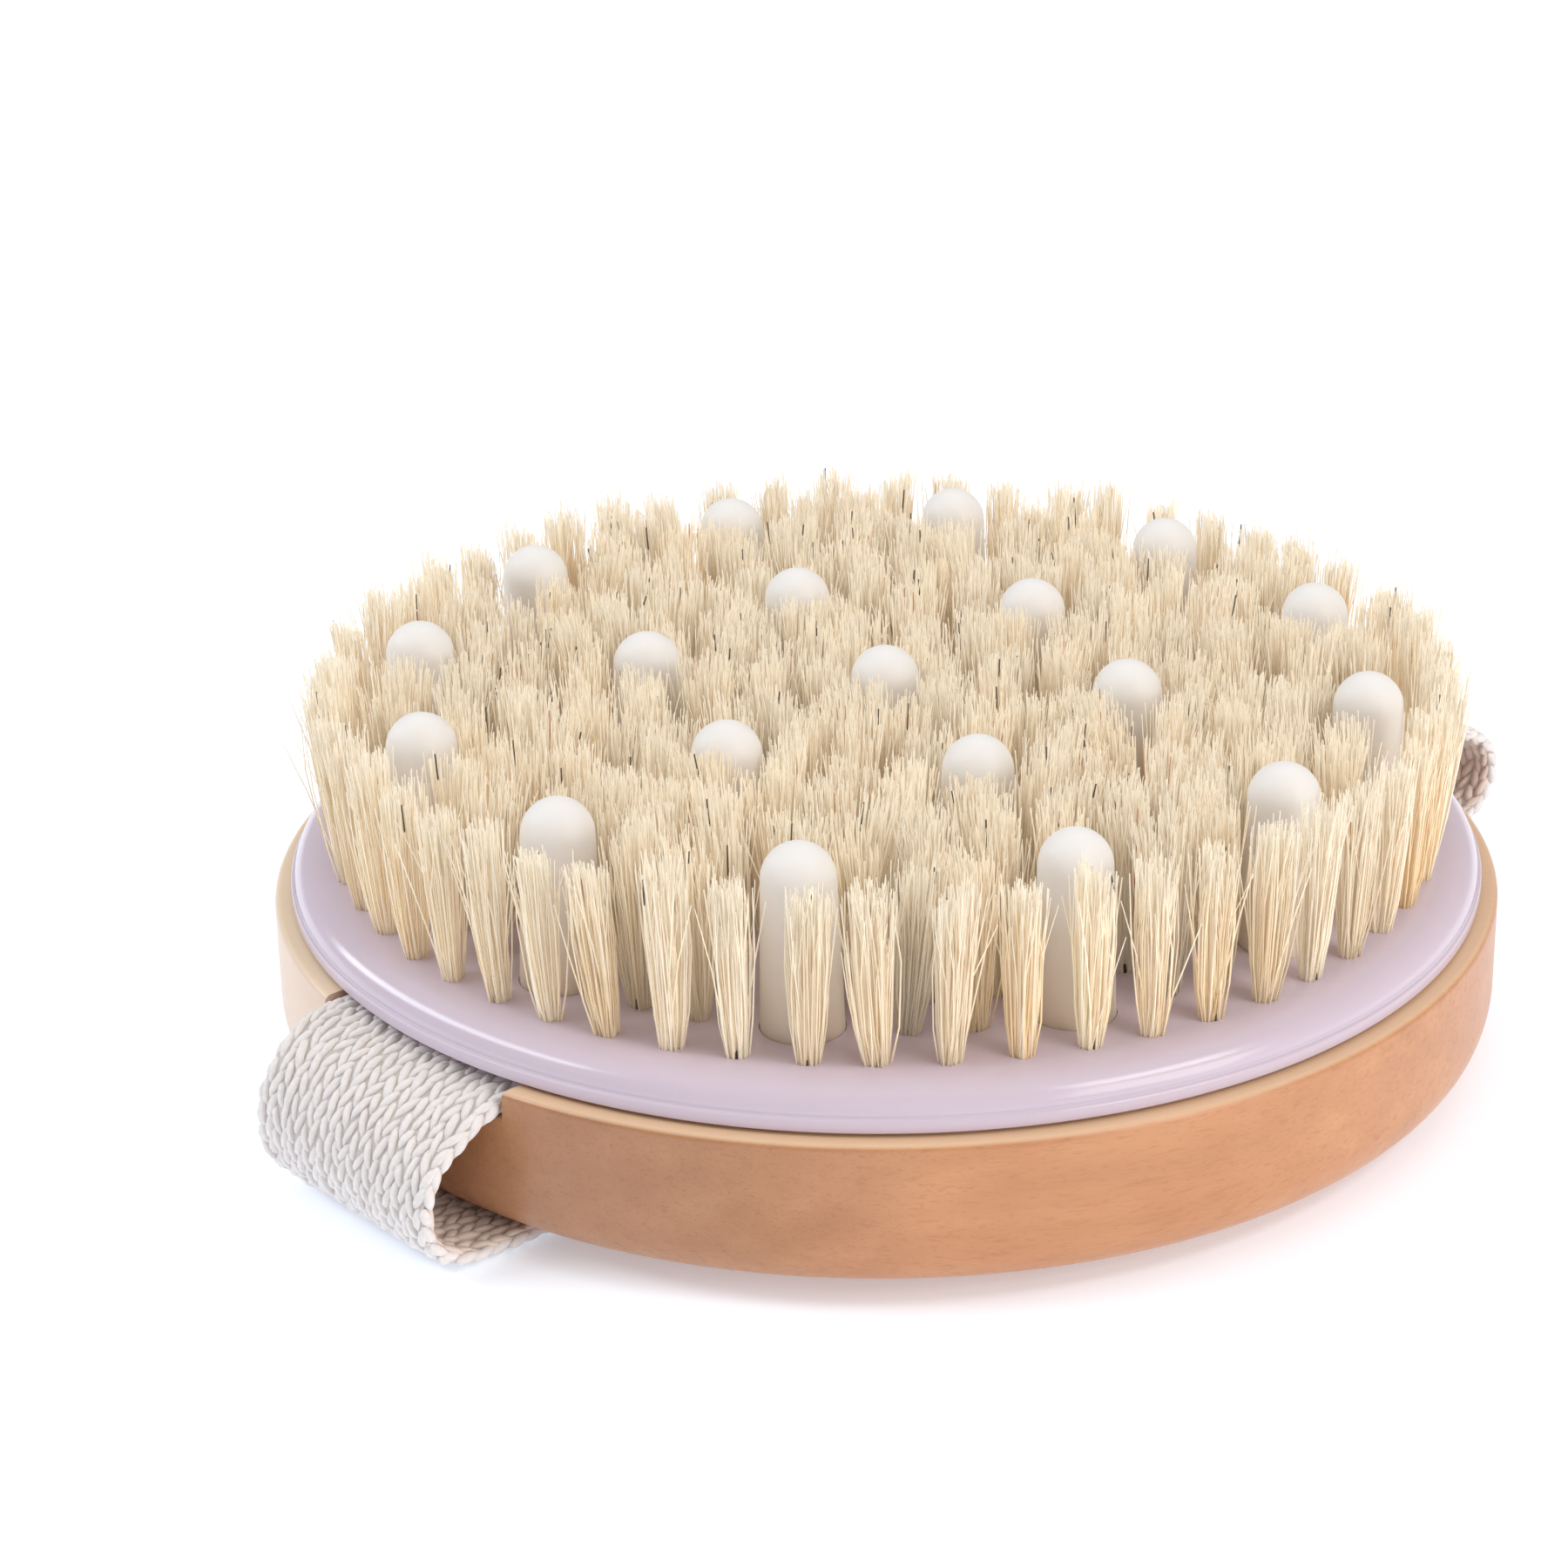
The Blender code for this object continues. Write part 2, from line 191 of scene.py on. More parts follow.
# The strap's line, through the middle of the webbing, as in the CAD
STRAP_IN_NOTCH = BASE_TOP - NOTCH_DEPTH + 0.3 * MM + STRAP_THICKNESS / 2
STRAP_ON_FLOOR = STRAP_THICKNESS / 2
STRAP_ROUTE = (
    (-0.0395, STRAP_IN_NOTCH),
    (-0.0470, STRAP_IN_NOTCH),
    (-0.0530, STRAP_IN_NOTCH),
    (-0.0565, 0.0123),
    (-0.0587, 0.0103),
    (-0.0599, 0.0077),
    (-0.0599, 0.0050),
    (-0.0587, 0.0026),
    (-0.0563, 0.0013),
    (-0.0525, STRAP_ON_FLOOR),
    (-0.0400, STRAP_ON_FLOOR),
    (0.0, STRAP_ON_FLOOR),
    (0.0500, STRAP_ON_FLOOR),
    (0.0650, STRAP_ON_FLOOR),
    (0.0689, 0.0014),
    (0.0714, 0.0029),
    (0.0725, 0.0053),
    (0.0717, 0.0079),
    (0.0692, 0.0100),
    (0.0650, 0.0113),
    (0.0600, 0.0124),
    (0.0550, STRAP_IN_NOTCH),
    (0.0470, STRAP_IN_NOTCH),
    (0.0395, STRAP_IN_NOTCH),
)
# How much higher the webbing's far edge lies than its middle, by the distance along it
STRAP_TWIST = (
    (0.0, 0.2 * MM),
    (10.0 * MM, 0.3 * MM),
    (17.0 * MM, 0.9 * MM),
    (22.0 * MM, 0.5 * MM),
    (29.0 * MM, 0.0),
    (200.0 * MM, 0.0),
)

# The webbing: a flat core, slanting stitches on both faces, and plump yarns along its edges.
# Yarns are half lengths, half widths and half heights, and the slant is in degrees.
OUTSIDE = -1
INSIDE = 1
CORE_WIDTH = STRAP_WIDTH - 1.1 * MM
CORE_HALF_THICKNESS = 0.42 * MM
STITCH_COLUMNS = 22
STITCH_PITCH = 1.75 * MM
STITCH_START = 6.0 * MM
STITCH_SLANT = 17
STITCH_YARN = (1.38 * MM, 0.445 * MM, 0.38 * MM)
STITCH_RISE = 0.20 * MM
STITCH_MARGIN = 0.45 * MM
SELVAGE_START = 4.0 * MM
SELVAGE_YARN = (0.98 * MM, 0.38 * MM, 0.56 * MM)
SELVAGE_INSET = 0.48 * MM
SELVAGE_RISE = 0.25 * MM

FLOOR_HALF_SIZE = 4.0
WORLD_LIGHT = 0.40


# ---------------------------------------------------------------- mesh helpers


def make_object(name, mesh, material):
    obj = bpy.data.objects.new(name, mesh)
    bpy.context.scene.collection.objects.link(obj)
    mesh.materials.append(material)
    return obj


def mesh_from_arrays(name, vertices, faces):
    mesh = bpy.data.meshes.new(name)
    mesh.from_pydata(vertices, [], faces)
    mesh.update()
    return mesh


def smooth(mesh, sharp_above=40.0):
    """Smooth shading, but not over edges that are sharper than an angle in degrees."""
    mesh.shade_smooth()
    mesh.set_sharp_from_angle(angle=math.radians(sharp_above))
    return mesh


def arc(centre, radius, start, end, steps):
    """(r, z) points of an arc, from angle start to angle end in degrees."""
    angles = [math.radians(start + (end - start) * i / steps) for i in range(steps + 1)]
    return [
        (centre[0] + radius[0] * math.cos(angle), centre[1] + radius[1] * math.sin(angle))
        for angle in angles
    ]


def lathe_mesh(name, profile, steps):
    """A closed solid of revolution. The profile starts and ends on the axis, top to bottom."""
    rings = profile[1:-1]
    vertices = [(0.0, 0.0, profile[0][1])]
    for radius, height in rings:
        for i in range(steps):
            angle = 2 * math.pi * i / steps
            vertices.append((radius * math.cos(angle), radius * math.sin(angle), height))
    vertices.append((0.0, 0.0, profile[-1][1]))
    last = len(vertices) - 1
    faces = []
    for i in range(steps):
        j = (i + 1) % steps
        faces.append((0, 1 + i, 1 + j))
        for k in range(len(rings) - 1):
            upper = 1 + k * steps
            lower = upper + steps
            faces.append((upper + i, lower + i, lower + j, upper + j))
        bottom = 1 + (len(rings) - 1) * steps
        faces.append((last, bottom + j, bottom + i))
    return mesh_from_arrays(name, vertices, faces)


def add_cylinder(shape, x, y, radius, bottom, top, segments):
    made = bmesh.ops.create_cone(
        shape,
        cap_ends=True,
        segments=segments,
        radius1=radius,
        radius2=radius,
        depth=top - bottom,
    )
    bmesh.ops.translate(shape, verts=made["verts"], vec=(x, y, (bottom + top) / 2))


def cut_away(obj, shape):
    """Cuts the solids in a bmesh out of an object's mesh."""
    cutter_mesh = bpy.data.meshes.new("cutter")
    shape.to_mesh(cutter_mesh)
    shape.free()
    cutter = bpy.data.objects.new("cutter", cutter_mesh)
    bpy.context.scene.collection.objects.link(cutter)
    modifier = obj.modifiers.new("Cut", "BOOLEAN")
    modifier.operation = "DIFFERENCE"
    modifier.solver = "EXACT"
    modifier.use_self = True
    modifier.object = cutter
    apply_modifiers(obj)
    bpy.data.objects.remove(cutter, do_unlink=True)


def apply_modifiers(obj):
    graph = bpy.context.evaluated_depsgraph_get()
    made = bpy.data.meshes.new_from_object(obj.evaluated_get(graph), depsgraph=graph)
    obj.modifiers.clear()
    obj.data = made


# ------------------------------------------------------------------- materials


class Nodes:
    """A material's node tree, with short ways to add nodes to it."""

    def __init__(self, name):
        self.material = bpy.data.materials.new(name)
        self.material.use_nodes = True
        self.tree = self.material.node_tree
        self.shader = self.tree.nodes["Principled BSDF"]

    def add(self, kind, **settings):
        node = self.tree.nodes.new(kind)
        for key, value in settings.items():
            setattr(node, key, value)
        return node

    def link(self, source, target):
        self.tree.links.new(source, target)

    def set(self, **values):
        for key, value in values.items():
            self.shader.inputs[key.replace("_", " ")].default_value = value

    def place(self, scale=(1, 1, 1), turn=0.0):
        """Object coordinates, turned about Z and then scaled."""
        coordinates = self.add("ShaderNodeTexCoord")
        turned = self.add("ShaderNodeMapping")
        turned.inputs["Rotation"].default_value = (0.0, 0.0, math.radians(turn))
        scaled = self.add("ShaderNodeMapping")
        scaled.inputs["Scale"].default_value = scale
        self.link(coordinates.outputs["Object"], turned.inputs["Vector"])
        self.link(turned.outputs["Vector"], scaled.inputs["Vector"])
        return scaled.outputs["Vector"]

    def noise(self, vector, scale, detail=3.0, roughness=0.5):
        node = self.add("ShaderNodeTexNoise")
        node.inputs["Scale"].default_value = scale
        node.inputs["Detail"].default_value = detail
        node.inputs["Roughness"].default_value = roughness
        self.link(vector, node.inputs["Vector"])
        return node.outputs["Fac"]

    def ramp(self, value, *stops):
        node = self.add("ShaderNodeValToRGB")
        elements = node.color_ramp.elements
        while len(elements) < len(stops):
            elements.new(0.5)
        for element, (position, colour) in zip(elements, stops):
            element.position = position
            element.color = (*colour, 1.0)
        self.link(value, node.inputs["Fac"])
        return node.outputs["Color"]

    def mix(self, factor, first, second, blend="MIX"):
        node = self.add("ShaderNodeMix", data_type="RGBA", blend_type=blend)
        # Its colour sockets: 0 is the factor, 6 and 7 are the colours, and 2 is the result
        for socket, value in ((0, factor), (6, first), (7, second)):
            if isinstance(value, (int, float)):
                node.inputs[socket].default_value = value
            elif isinstance(value, tuple):
                node.inputs[socket].default_value = (*value, 1.0)
            else:
                self.link(value, node.inputs[socket])
        return node.outputs[2]

    def map_range(self, value, low, high, to_low, to_high):
        node = self.add("ShaderNodeMapRange")
        for key, number in (
            ("From Min", low),
            ("From Max", high),
            ("To Min", to_low),
            ("To Max", to_high),
        ):
            node.inputs[key].default_value = number
        self.link(value, node.inputs["Value"])
        return node.outputs["Result"]

    def dot(self, vector, direction):
        node = self.add("ShaderNodeVectorMath", operation="DOT_PRODUCT")
        node.inputs[1].default_value = direction
        self.link(vector, node.inputs[0])
        return node.outputs["Value"]

    def bump(self, height, strength, distance):
        node = self.add("ShaderNodeBump")
        node.inputs["Strength"].default_value = strength
        node.inputs["Distance"].default_value = distance
        self.link(height, node.inputs["Height"])
        self.link(node.outputs["Normal"], self.shader.inputs["Normal"])

    def colour(self, source):
        self.link(source, self.shader.inputs["Base Color"])


def wood_material():
    nodes = Nodes("oiled_beech")
    cloud = nodes.noise(nodes.place(), 85, 3)
    bands = nodes.noise(nodes.place((36, 330, 330), GRAIN_TURN), 1.0, 5, 0.6)
    fibres = nodes.noise(nodes.place((130, 2000, 2000), GRAIN_TURN), 1.0, 3, 0.6)
    pores = nodes.noise(nodes.place((800, 5200, 5200), GRAIN_TURN), 1.0, 2, 0.5)
    tone = nodes.ramp(
        bands,
        (0.30, (0.500, 0.207, 0.080)),
        (0.52, (0.555, 0.238, 0.095)),
        (0.72, (0.615, 0.281, 0.120)),
    )
    tone = nodes.mix(nodes.map_range(cloud, 0.40, 0.70, 0.0, 0.45), tone, (0.615, 0.292, 0.130))
    tone = nodes.mix(nodes.map_range(fibres, 0.55, 0.74, 0.0, 0.40), tone, (0.38, 0.145, 0.050))
    tone = nodes.mix(nodes.map_range(pores, 0.56, 0.68, 0.0, 0.26), tone, (0.33, 0.124, 0.044))
    # Painted shade: the wood darkens towards one side, the front left beside the strap
    shaded_side = nodes.map_range(nodes.dot(nodes.place(), PAINTED_SHADE_SIDE / BASE_RADIUS), 0.86, 1.0, 0.0, 1.0)
    tone = nodes.mix(shaded_side, tone, (0.74, 0.75, 0.78), "MULTIPLY")
    # Painted glare: the wood pales towards the far left side, and so does the top rim there
    glare_side = nodes.map_range(nodes.dot(nodes.place(), PAINTED_GLARE_SIDE / BASE_RADIUS), 0.84, 0.95, 0.0, 0.65)
    tone = nodes.mix(glare_side, tone, (0.80, 0.66, 0.52))
    # Painted highlight: wood that faces up is paler and yellower, as if lit from above
    facing = nodes.add("ShaderNodeSeparateXYZ")
    nodes.link(nodes.add("ShaderNodeNewGeometry").outputs["Normal"], facing.inputs["Vector"])
    top_light = nodes.map_range(facing.outputs["Z"], 0.55, 0.95, 0.0, 0.7)
    rim = nodes.mix(glare_side, (0.83, 0.60, 0.39), (0.90, 0.74, 0.52))
    nodes.colour(nodes.mix(top_light, tone, rim))
    nodes.link(nodes.map_range(fibres, 0.3, 0.7, 0.46, 0.60), nodes.shader.inputs["Roughness"])
    nodes.set(IOR=1.45, Coat_Weight=0.65, Coat_Roughness=0.28)
    nodes.bump(pores, 0.12, 0.00010)
    return nodes.material


def plate_material():
    nodes = Nodes("lilac_gloss_plastic")
    haze = nodes.noise(nodes.place(), 40, 3)
    fine = nodes.noise(nodes.place(), 900, 2)
    nodes.colour(nodes.mix(haze, (0.588, 0.488, 0.560), (0.628, 0.523, 0.597)))
    nodes.link(nodes.map_range(haze, 0.3, 0.7, 0.15, 0.22), nodes.shader.inputs["Roughness"])
    nodes.set(IOR=1.50, Subsurface_Weight=0.05, Subsurface_Scale=0.001)
    nodes.bump(fine, 0.05, 0.00003)
    return nodes.material


def rubber_material():
    nodes = Nodes("white_massage_rubber")
    cloud = nodes.noise(nodes.place(), 220, 3)
    fine = nodes.noise(nodes.place(), 2600, 2)
    height = nodes.add("ShaderNodeSeparateXYZ")
    nodes.link(nodes.place(), height.inputs["Vector"])
    # Painted shade: towards the foot the rubber darkens and warms, as if shaded and lit warm by the
    # bristles around it
    foot = nodes.map_range(height.outputs["Z"], PIN_HEIGHT * 0.8, 0.0, 0.0, 1.0)
    tone = nodes.mix(cloud, (0.78, 0.745, 0.715), (0.82, 0.79, 0.765))
    nodes.colour(nodes.mix(foot, tone, (1.0, 0.90, 0.77), "MULTIPLY"))
    nodes.link(nodes.map_range(cloud, 0.3, 0.7, 0.42, 0.55), nodes.shader.inputs["Roughness"])
    nodes.set(IOR=1.41, Subsurface_Weight=0.25, Subsurface_Scale=0.0015)
    nodes.shader.inputs["Subsurface Radius"].default_value = (1.0, 0.75, 0.55)
    nodes.bump(fine, 0.10, 0.00004)
    return nodes.material


def bristle_material():
    nodes = Nodes("boar_bristle")
    tint = nodes.add("ShaderNodeVertexColor", layer_name="tint")
    streak = nodes.noise(nodes.place((900, 900, 160)), 1.0, 2)
    nodes.colour(
        nodes.mix(
            nodes.map_range(streak, 0.3, 0.7, 0.0, 0.30),
            tint.outputs["Color"],
            (0.95, 0.88, 0.76),
            "MULTIPLY",
        )
    )
    nodes.link(nodes.map_range(streak, 0.3, 0.7, 0.36, 0.52), nodes.shader.inputs["Roughness"])
    # Painted glow: each bristle emits its own tint
    nodes.link(tint.outputs["Color"], nodes.shader.inputs["Emission Color"])
    nodes.set(IOR=1.50, Specular_IOR_Level=0.22, Emission_Strength=BRISTLE_GLOW)
    return nodes.material


def cotton_material(name, light, dark):
    nodes = Nodes(name)
    cloud = nodes.noise(nodes.place(), 260, 3)
    fibre = nodes.noise(nodes.place((1400, 2600, 2600)), 1.0, 3, 0.6)
    tone = nodes.mix(cloud, dark, light)
    nodes.colour(nodes.mix(nodes.map_range(fibre, 0.35, 0.7, 0.0, 0.35), tone, (0.66, 0.60, 0.54)))
    nodes.link(nodes.map_range(fibre, 0.2, 0.8, 0.80, 0.95), nodes.shader.inputs["Roughness"])
    nodes.set(Sheen_Weight=0.25, Sheen_Roughness=0.5, IOR=1.35)
    nodes.bump(fibre, 0.55, 0.00010)
    return nodes.material


def metal_material(name, colour, roughness):
    nodes = Nodes(name)
    scuffs = nodes.noise(nodes.place(), 1500, 2)
    nodes.colour(nodes.mix(scuffs, colour, tuple(0.7 * c for c in colour)))
    low, high = roughness
    nodes.link(nodes.map_range(scuffs, 0.3, 0.7, low, high), nodes.shader.inputs["Roughness"])
    nodes.set(Metallic=0.9)
    return nodes.material


# ------------------------------------------------------------- base and plate


def make_base(material):
    """The turned base: an eased top edge, a barely swelling side and a rounded back edge."""
    top_round = 0.6 * MM
    back_round = (3.0 * MM, 4.5 * MM)
    back_centre = (BASE_RADIUS - back_round[0], BASE_BOTTOM + back_round[1])
    rim_width = 6.0 * MM
    profile = [
        (0.0, BASE_TOP - POCKET_DEPTH),
        (POCKET_RADIUS, BASE_TOP - POCKET_DEPTH),
        (POCKET_RADIUS, BASE_TOP),
        (BASE_RADIUS - rim_width, BASE_TOP),
        *arc((BASE_RADIUS - top_round, BASE_TOP - top_round), (top_round, top_round), 90, 0, 6),
        *arc(back_centre, back_round, 0, -90, 14),
        (0.0, BASE_BOTTOM),
    ]
    base = make_object("turned_wooden_base", lathe_mesh("base", profile, 256), material)
    shape = bmesh.new()
    length = NOTCH_END - NOTCH_START
    for side in (-1, 1):
        middle = (side * (NOTCH_START + length / 2), 0.0, BASE_TOP)
        made = bmesh.ops.create_cube(shape, size=1.0)
        bmesh.ops.scale(shape, verts=made["verts"], vec=(length, NOTCH_WIDTH, 2 * NOTCH_DEPTH))
        bmesh.ops.translate(shape, verts=made["verts"], vec=middle)
    cut_away(base, shape)
    smooth(base.data, 35)
    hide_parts("wooden_base")
    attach(base, "root")


def make_plate(material, pins, tufts):
    """The moulded plate, with a rounded shoulder, a step above its lower lip, and its holes."""
    side = PLATE_RADIUS - 0.32 * MM
    shoulder = (4.0 * MM, 2.5 * MM)
    face_rim = 0.8 * MM
    lip_top = PLATE_BOTTOM + 1.15 * MM
    lip_round = (0.22 * MM, 0.22 * MM)
    lip_centre = PLATE_RADIUS - lip_round[0]
    step_round = 0.06 * MM
    profile = [
        (0.0, PLATE_FACE),
        (side - shoulder[0] - face_rim, PLATE_FACE),
        *arc((side - shoulder[0], PLATE_FACE - shoulder[1]), shoulder, 90, 0, 18),
        (side + step_round / 3, lip_top + lip_round[1]),
        (side + step_round, lip_top + step_round),
        *arc((lip_centre, lip_top - lip_round[1]), lip_round, 80, 0, 4),
        *arc((lip_centre, PLATE_BOTTOM + lip_round[1]), lip_round, 0, -90, 4),
        (BOSS_RADIUS, PLATE_BOTTOM),
        (BOSS_RADIUS, PLATE_BOTTOM - BOSS_DEPTH),
        (0.0, PLATE_BOTTOM - BOSS_DEPTH),
    ]
    plate = make_object("drilled_brush_plate", lathe_mesh("plate", profile, 256), material)
    shape = bmesh.new()
    above = PLATE_FACE + MM
    for x, y in pins:
        add_cylinder(shape, x, y, PIN_SEAT_RADIUS, PLATE_FACE - PIN_SEAT_DEPTH, above, 32)
    for x, y, _ in tufts:
        add_cylinder(shape, x, y, HOLE_RADIUS, PLATE_FACE - HOLE_DEPTH, above, 14)
    cut_away(plate, shape)
    smooth(plate.data, 35)
    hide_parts("brush_plate")
    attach(plate, "root")


# -------------------------------------------------------------------- the pins


def pin_places():
    """(x, y) of each pin, from its CAD node's box."""
    places = []
    for number in range(1, PIN_COUNT + 1):
        low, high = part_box(f"massage_pin_{number:02d}")
        places.append(((low.x + high.x) / 2, (low.y + high.y) / 2))
    return places


def make_pins(material, places):
    """The tapered pins with their domes, each in its seat and leaning a little."""
    dome_centre = PIN_HEIGHT - PIN_DOME_RADIUS
    seat_gap = 0.05 * MM
    foot = -PIN_SEAT_DEPTH + seat_gap
    rim = 0.25 * MM
    middle = (PIN_DOME_RADIUS + 0.20 * MM, dome_centre * 0.55)
    flare = (PIN_BASE_RADIUS - 0.08 * MM, 1.0 * MM)
    profile = [
        *arc((0.0, dome_centre), (PIN_DOME_RADIUS, PIN_DOME_RADIUS), 90, 0, 12),
        middle,
        flare,
        *arc((PIN_BASE_RADIUS - rim, foot + rim), (rim, rim), 0, -90, 3),
        (0.0, foot),
    ]
    for number, (x, y) in enumerate(places, start=1):
        mesh = smooth(lathe_mesh("pin", profile, 40))
        pin = make_object(f"leaning_pin_{number:02d}", mesh, material)
        lean = math.radians(random.normal(0.0, PIN_LEAN))
        about = random.uniform(0, 2 * math.pi)
        axis = Vector((math.cos(about), math.sin(about), 0.0))
        pin.matrix_world = Matrix.Translation((x, y, PLATE_FACE)) @ Matrix.Rotation(lean, 4, axis)
        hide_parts(f"massage_pin_{number:02d}")
        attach(pin, "root")


# ------------------------------------------------------------------ the tufts


def ring_angles(ring):
    """The angles in degrees of one ring's tufts. Where pins share the ring, tufts fill its gaps."""
    if ring == INNER_PIN_RING:
        middles = [PIN_PHASE + 30 + 60 * i for i in range(6)]
        return [middle + step for middle in middles for step in INNER_PIN_RING_STEPS]
    if ring == OUTER_PIN_RING:
        middles = [PIN_PHASE + 15 + 30 * i for i in range(12)]
        return [middle + step for middle in middles for step in OUTER_PIN_RING_STEPS]
    count = 6 * ring
    phase = RING_PHASES.get(ring, PIN_PHASE + 180 / count)
    return [phase + 360 * i / count for i in range(count)]


def ring_tufts(ring):
    """(x, y, angle) of each tuft in a ring, with the small errors of drilling."""
    tufts = []
    for degrees in ring_angles(ring):
        angle = math.radians(degrees) + random.normal(0.0, 0.10 * MM) / (ring * RING_PITCH)
        radius = ring * RING_PITCH - (TIGHT_RING_INSET if ring == TIGHT_RING else 0.0)
        radius += random.normal(0.0, 0.06 * MM)
        tufts.append((radius * math.cos(angle), radius * math.sin(angle), angle))
    return tufts


def bristle_feet(count):
    """Where a tuft's bristles stand in its hole: along the ring, and out from the middle."""
    around = random.uniform(0, 2 * math.pi, count)
    radius = np.sqrt(random.random(count)) * TUFT_FOOT_RADIUS
    return np.stack([radius * np.cos(around), radius * np.sin(around)], 1)


def bristle_tips(feet, kind):
    """Where the bristles end, in the same directions, and how far each stray one reaches."""
    count = len(feet)
    flare = random.uniform(*kind["flare"])
    lean = random.normal(0.0, kind["lean"], 2) * TUFT_HEIGHT
    lean[1] += kind["outward"] * TUFT_HEIGHT
    unruly = np.where(random.random(count) < UNRULY_SHARE, UNRULY_SCATTER, 1.0)[:, None]
    tips = feet * flare + lean + random.normal(0.0, kind["scatter"], (count, 2)) * unruly
    stray = random.random(count) < STRAY_SHARE
    direction = random.uniform(0, 2 * math.pi, count)
    reach = np.where(stray, random.uniform(*STRAY_REACH, count), 0.0) * MM
    tips += np.stack([np.cos(direction), np.sin(direction)], 1) * reach[:, None]
    return tips, reach


def bristle_heights(feet, reach):
    """How high the bristles stand over the plate: the tuft's height, its slant and short ends."""
    count = len(feet)
    heights = TUFT_HEIGHT * random.normal(*TUFT_HEIGHT_SHARE)
    heights = heights + random.normal(0.0, BRISTLE_HEIGHT_SPREAD, count)
    heights += feet @ random.normal(0.0, TUFT_SLANT, 2)
    short = random.random(count) < SHORT_SHARE
    heights -= np.where(short, random.exponential(SHORT_CUT, count), 0.0) * MM
    return heights - reach * STRAY_DROP


def bristle_levels(count):
    """The levels of each bristle's points, and which of the bristles have a dark end."""
    levels = np.tile(np.array(BRISTLE_LEVELS), (count, 1))
    dark = random.random(count) < DARK_SHARE
    start = random.uniform(*DARK_START, count)
    levels[dark, 1] = start[dark]
    levels[dark, 2] = start[dark] + 0.01
    return levels, dark


def tuft_lines(tuft, kind):
    """The centrelines, radii and colours of one tuft's bristles, as arrays by bristle and level."""
    x, y, angle = tuft
    count = kind["bristles"]
    feet = bristle_feet(count)
    tips, reach = bristle_tips(feet, kind)
    bend = random.normal(0.0, BRISTLE_BEND, (count, 2))
    heights = bristle_heights(feet, reach)
    levels, dark = bristle_levels(count)

    # The wire that the tuft is folded over parts its feet. Stray bristles lean out late.
    parted = feet.copy()
    parted[:, 0] += np.sign(feet[:, 0]) * ANCHOR_GAP / 2
    t = levels[:, :, None]
    power = np.where(reach > 0, 1.5, 0.92)[:, None, None]
    across = parted[:, None, :] + (tips - parted)[:, None, :] * t**power
    across += bend[:, None, :] * (t * (1 - t) * 4)

    cosine, sine = math.cos(angle), math.sin(angle)
    lines = np.empty((*levels.shape, 3))
    lines[..., 0] = x + (across[..., 0] * -sine + across[..., 1] * cosine)
    lines[..., 1] = y + (across[..., 0] * cosine + across[..., 1] * sine)
    lines[..., 2] = PLATE_FACE + TUFT_BOTTOM + (heights - TUFT_BOTTOM)[:, None] * levels

    thick = BRISTLE_RADIUS * random.uniform(0.78, 1.18, count) * np.where(dark, 1.5, 1.0)
    radii = thick[:, None] * np.interp(levels, (0.0, 0.6, 1.0), (1.0, 0.92, 0.58))
    return lines, radii, bristle_colours(levels, dark, kind)


def bristle_colours(levels, dark, kind):
    """Cream to straw bristles, paler towards the tip, with a few dark or reddish ends.

    The inner tufts are duller than the edge's and vary more. Low down they get painted shade,
    where they stand deep among the others.
    """
    count = len(levels)
    tuft_tone = random.normal(*kind["straw"])
    share = np.clip(random.beta(1.5, 3.2, count) + tuft_tone, 0, 1)[:, None]
    body = CREAM * (1 - share) + STRAW * share
    brightness = random.normal(*kind["brightness"])
    body *= random.normal(brightness, 0.035, count)[:, None]
    tip_mix = np.interp(levels, (0.45, 0.95), (0.0, 0.85))[:, :, None]
    colours = body[:, None, :] * (1 - tip_mix) + kind["tip_tone"] * tip_mix
    # Painted shade: the inner tufts darken low down, deep among the others
    colours *= np.interp(levels, (0.45, 0.90), kind["shade"])[:, :, None]
    red = random.random(count) < RED_SHARE
    colours[dark, 2:] = DARK_END
    colours[red, 2:] = RED_END
    return np.clip(colours, 0.0, 1.0)


def keep_off_pins(lines, pins):
    """Moves every bristle point that falls inside an upright pin's foot circle out to its edge."""
    gap = 0.05 * MM
    clear = PIN_BASE_RADIUS + gap
    for x, y in pins:
        away = lines[..., :2] - np.array((x, y))
        distance = np.linalg.norm(away, axis=-1)
        inside = distance < clear
        lines[inside, :2] += away[inside] * (clear / distance[inside] - 1)[:, None]


def trim_by_pins(lines, pins):
    """Shortens the bristles whose tips stand close to a pin."""
    gaps = np.linalg.norm(lines[:, -1, None, :2] - np.array(pins), axis=-1).min(axis=1)
    cut = PIN_TRIM * np.exp(-np.clip(gaps - PIN_BASE_RADIUS, 0, None) / PIN_TRIM_REACH)
    lines[..., 2] -= cut[:, None] * np.clip(lines[..., 2] - PLATE_FACE, 0, None) / TUFT_HEIGHT


